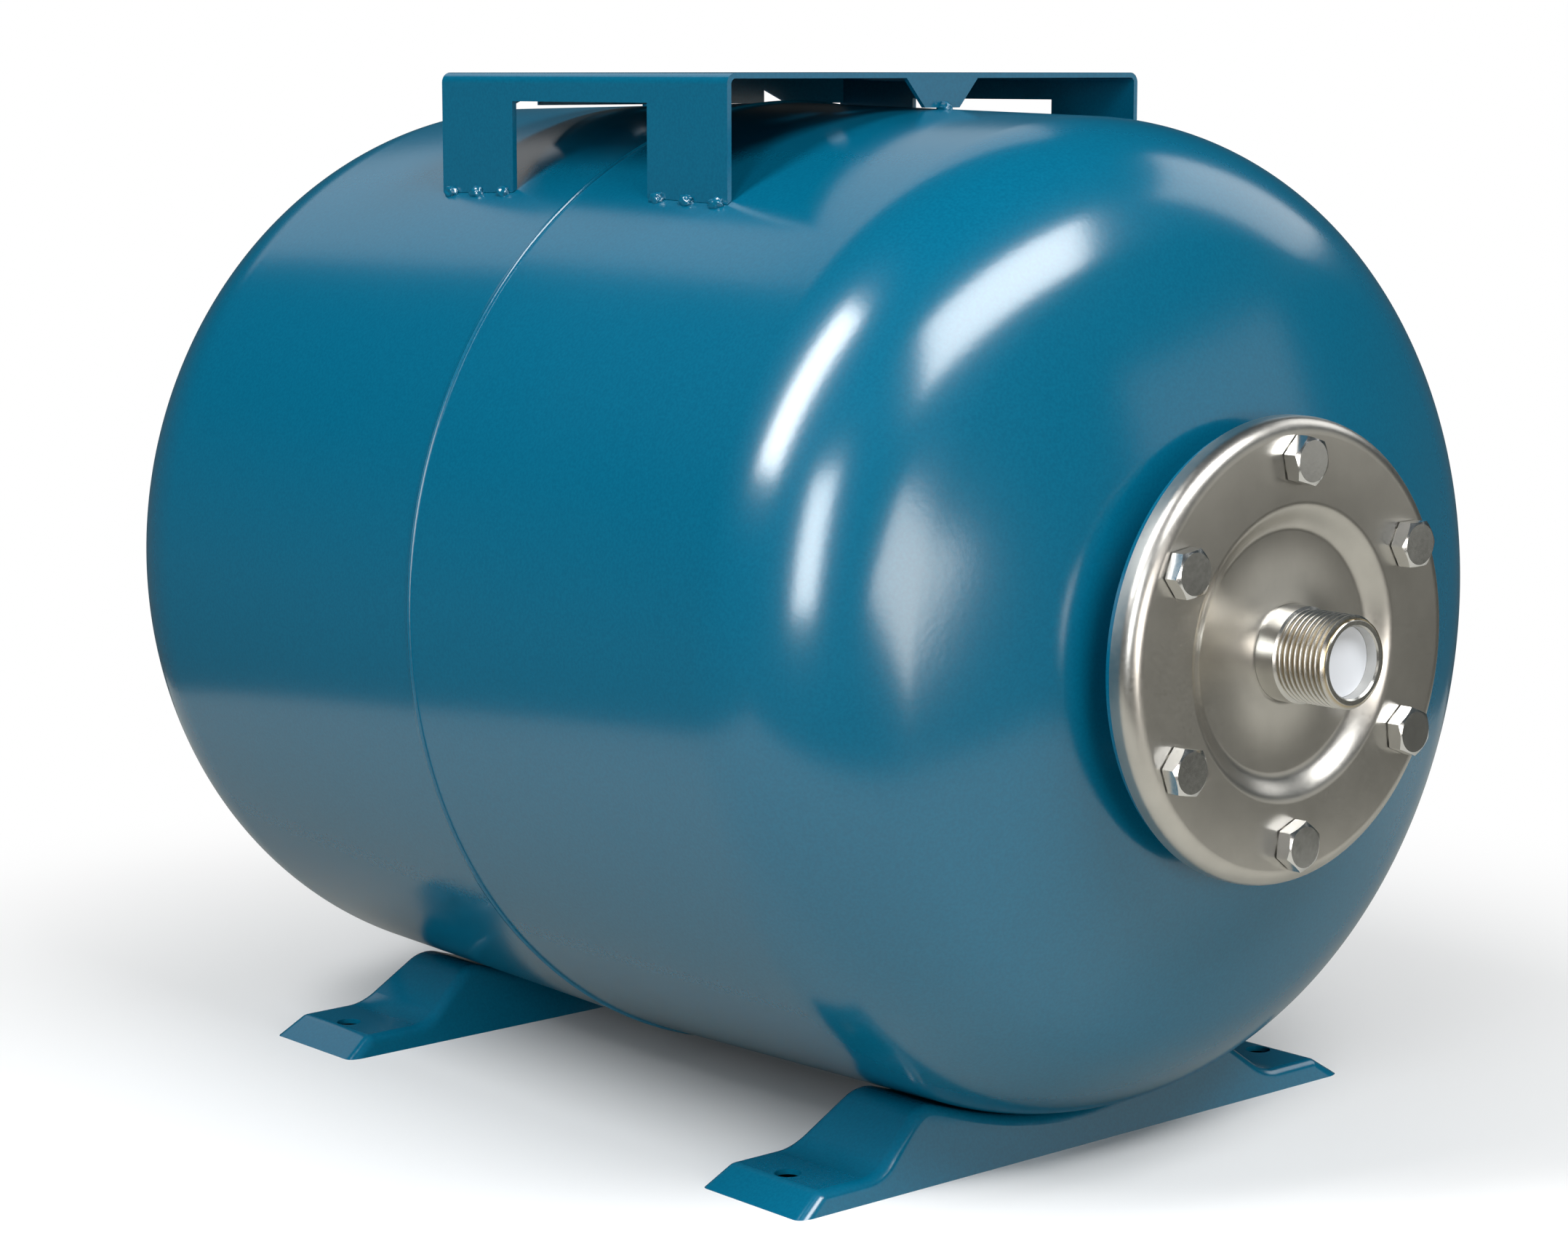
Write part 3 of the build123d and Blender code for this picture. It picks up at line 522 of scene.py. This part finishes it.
# The ridge runs out into the mouth's chamfer at one end and into the shank at the other.
lead_in = 0.0012
run_out_slope = 0.8
least_radius = root - 0.0006
for vert in helix.verts:
    along = vert.co.y - tank_middle.y
    from_axis = Vector((vert.co.x, 0, vert.co.z - tank_middle.z))
    ahead = thread_radius - lead_in + (along - mouth)
    behind = thread_radius + (shank_start - along) * run_out_slope
    limit = max(min(ahead, behind), least_radius)
    if from_axis.length > limit:
        from_axis = from_axis.normalized() * limit
    held = max(along, mouth + 0.00005)
    vert.co = (from_axis.x, tank_middle.y + held, tank_middle.z + from_axis.z)
bmesh.ops.recalc_face_normals(helix, faces=helix.faces)
helix.from_mesh(nipple.data)
helix.to_mesh(nipple.data)
helix.free()
smooth(nipple, 35)
nipple_zinc = zinc("nipple_zinc", (0.66, 0.65, 0.62), 0.18, 0.30, 0.05)
nodes, links = nipple_zinc.node_tree.nodes, nipple_zinc.node_tree.links
place = nodes.new("ShaderNodeTexCoord")
centred = nodes.new("ShaderNodeVectorMath")
centred.operation = "SUBTRACT"
centred.inputs[1].default_value = tank_middle
across = nodes.new("ShaderNodeVectorMath")
across.operation = "MULTIPLY"
across.inputs[1].default_value = (1, 0, 1)
radius = nodes.new("ShaderNodeVectorMath")
radius.operation = "LENGTH"
depth = nodes.new("ShaderNodeMapRange")
depth.inputs["From Min"].default_value = nipple_bore
depth.inputs["From Max"].default_value = thread_radius
valley = nodes.new("ShaderNodeValToRGB")
valley.color_ramp.elements[0].position = 0.58
valley.color_ramp.elements[0].color = (1, 1, 1, 1)
valley.color_ramp.elements[1].position = 0.9
valley.color_ramp.elements[1].color = (1, 1, 1, 1)
golden = valley.color_ramp.elements.new(0.63)
golden.color = (0.80, 0.66, 0.42, 1)
gold = nodes.new("ShaderNodeMix")
gold.data_type = "RGBA"
gold.blend_type = "MULTIPLY"
gold.inputs["Factor"].default_value = 1
links.new(place.outputs["Object"], centred.inputs[0])
links.new(centred.outputs["Vector"], across.inputs[0])
links.new(across.outputs["Vector"], radius.inputs[0])
links.new(radius.outputs["Value"], depth.inputs["Value"])
links.new(depth.outputs["Result"], valley.inputs["Fac"])
links.new(nodes["Color Ramp"].outputs["Color"], gold.inputs["A"])
links.new(valley.outputs["Color"], gold.inputs["B"])
links.new(gold.outputs["Result"], nodes["Principled BSDF"].inputs["Base Color"])
nipple.data.materials.append(nipple_zinc)
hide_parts("water_nipple")
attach(nipple, "tank")


# Nipple weld: the fillet between the nipple's shoulder and the back of the cover, zinc plated
# together with both. It cannot be seen from outside.
give(cover_zinc, "nipple_weld")


# Flange bolts: six M10 hexagon screws, cold formed, with a chamfered head and a washer face,
# bright zinc. Each is tightened to its own angle into the neck ring.
across_flats = 0.016
head_height = 0.0064
washer_gap = 0.0005
washer_radius = 0.0074
bolt_radius = 0.00498
face_radius = 0.0074
chamfer_angle = radians(28)
bolt_circle = 0.0685
bolt_turns = (14, 38, 20, 52, 8, 31)
bolt_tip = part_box("flange_bolts")[1].y - tank_middle.y
top = face - head_height
hexagon = across_flats / 2
bolts = bmesh.new()
for number, turn in enumerate(bolt_turns):
    bolt = bmesh.new()
    section = [(bolt_tip, 0), (bolt_tip, bolt_radius), (face, bolt_radius), (face, washer_radius)]
    section += [(face - washer_gap, washer_radius), (face - washer_gap, hexagon)]
    section += [(top, hexagon), (top, face_radius), (top, 0)]
    corners = [bolt.verts.new((out, along, 0)) for along, out in section]
    for one, two in zip(corners, corners[1:]):
        bolt.edges.new((one, two))
    bmesh.ops.spin(
        bolt, geom=bolt.verts[:] + bolt.edges[:], cent=(0, 0, 0), axis=(0, 1, 0),
        angle=2 * pi, steps=72, use_merge=True,
    )
    bmesh.ops.remove_doubles(bolt, verts=bolt.verts, dist=1e-7)
    for vert in bolt.verts:
        out = Vector((vert.co.x, 0, vert.co.z))
        if abs(out.length - hexagon) > 1e-5:
            continue
        angle = degrees(atan2(out.z, out.x)) % 60 - 30
        reach = hexagon / cos(radians(angle))
        slope = max(0, reach - face_radius) * tan(chamfer_angle)
        along = top + slope if abs(vert.co.y - top) < 1e-6 else vert.co.y
        out = out.normalized() * reach
        vert.co = (out.x, along, out.z)
    bmesh.ops.recalc_face_normals(bolt, faces=bolt.faces)
    around = radians(90 + 60 * number)
    bmesh.ops.rotate(
        bolt, verts=bolt.verts, cent=(0, 0, 0),
        matrix=Matrix.Rotation(-around - radians(turn), 3, "Y"),
    )
    middle = tank_middle + bolt_circle * Vector((cos(around), 0, sin(around)))
    bmesh.ops.translate(bolt, verts=bolt.verts, vec=middle)
    one_bolt = bpy.data.meshes.new("one_bolt")
    bolt.to_mesh(one_bolt)
    bolt.free()
    bolts.from_mesh(one_bolt)
    bpy.data.meshes.remove(one_bolt)
bolt_set = new_object("hexagon_bolts", bolts)
smooth(bolt_set, 18)
bolt_zinc = zinc("bolt_zinc", (0.78, 0.78, 0.77), 0.14, 0.26, 0.04)
bolt_set.data.materials.append(bolt_zinc)
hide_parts("flange_bolts")
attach(bolt_set, "tank")


# Bladder: a moulded bag of black rubber inside the tank, its lip clamped between the neck ring
# and the cover. Hidden when the vessel is whole.
def plain(name, colour, rough_low, rough_high, scale, bump_size, metallic=0):
    """A plain moulded or turned surface: a little uneven in gloss, with a fine grain."""
    surface = bpy.data.materials.new(name)
    surface.use_nodes = True
    nodes, links = surface.node_tree.nodes, surface.node_tree.links
    shader = nodes["Principled BSDF"]
    shader.inputs["Base Color"].default_value = colour + (1,)
    shader.inputs["Metallic"].default_value = metallic
    place = nodes.new("ShaderNodeTexCoord")
    grain = nodes.new("ShaderNodeTexNoise")
    grain.inputs["Scale"].default_value = scale
    grain.inputs["Detail"].default_value = 4
    gloss = nodes.new("ShaderNodeMapRange")
    gloss.inputs["To Min"].default_value = rough_low
    gloss.inputs["To Max"].default_value = rough_high
    bump = nodes.new("ShaderNodeBump")
    bump.inputs["Strength"].default_value = bump_size
    bump.inputs["Distance"].default_value = 0.0002
    links.new(place.outputs["Object"], grain.inputs["Vector"])
    links.new(grain.outputs["Fac"], gloss.inputs["Value"])
    links.new(gloss.outputs["Result"], shader.inputs["Roughness"])
    links.new(grain.outputs["Fac"], bump.inputs["Height"])
    links.new(bump.outputs["Normal"], shader.inputs["Normal"])
    return surface


give(plain("bladder_rubber", (0.012, 0.012, 0.012), 0.55, 0.75, 300, 0.2), "bladder")


# Transit plug: a thin-walled cup of white polyethylene pressed into the nipple's mouth to keep
# dirt out. It pulls out by hand.
# The plug's colour is set to a grey-blue well below white: painted shade from the nipple's bore over
# white plastic.
give(plain("white_plastic", (0.66, 0.69, 0.74), 0.42, 0.55, 500, 0.06), "transit_plug")


# Seals of the air valve: the gasket under the stem, the seal on the pin and the disc in the
# cap, all black rubber.
seal_rubber = plain("seal_rubber", (0.010, 0.010, 0.010), 0.6, 0.8, 900, 0.15)
give(seal_rubber, "valve_gasket", "valve_pin_seal", "cap_seal")


# Air valve: turned brass stem with its hexagon, the core body in it and the pin, the kind used
# on tyres and screwed into the boss.
valve_brass = plain("valve_brass", (0.78, 0.60, 0.30), 0.22, 0.34, 1200, 0.04, metallic=1)
give(valve_brass, "valve_stem", "valve_core_body", "valve_pin")


# Valve spring: five turns of drawn steel wire round the pin, which it pushes shut.
give(plain("spring_steel", (0.50, 0.50, 0.50), 0.2, 0.3, 900, 0.03, metallic=1), "valve_spring")


# Valve cap: a moulded black plastic cap with grip ribs, screwed over the boss at the rear.
give(plain("cap_plastic", (0.014, 0.014, 0.015), 0.38, 0.5, 900, 0.12), "valve_cap")
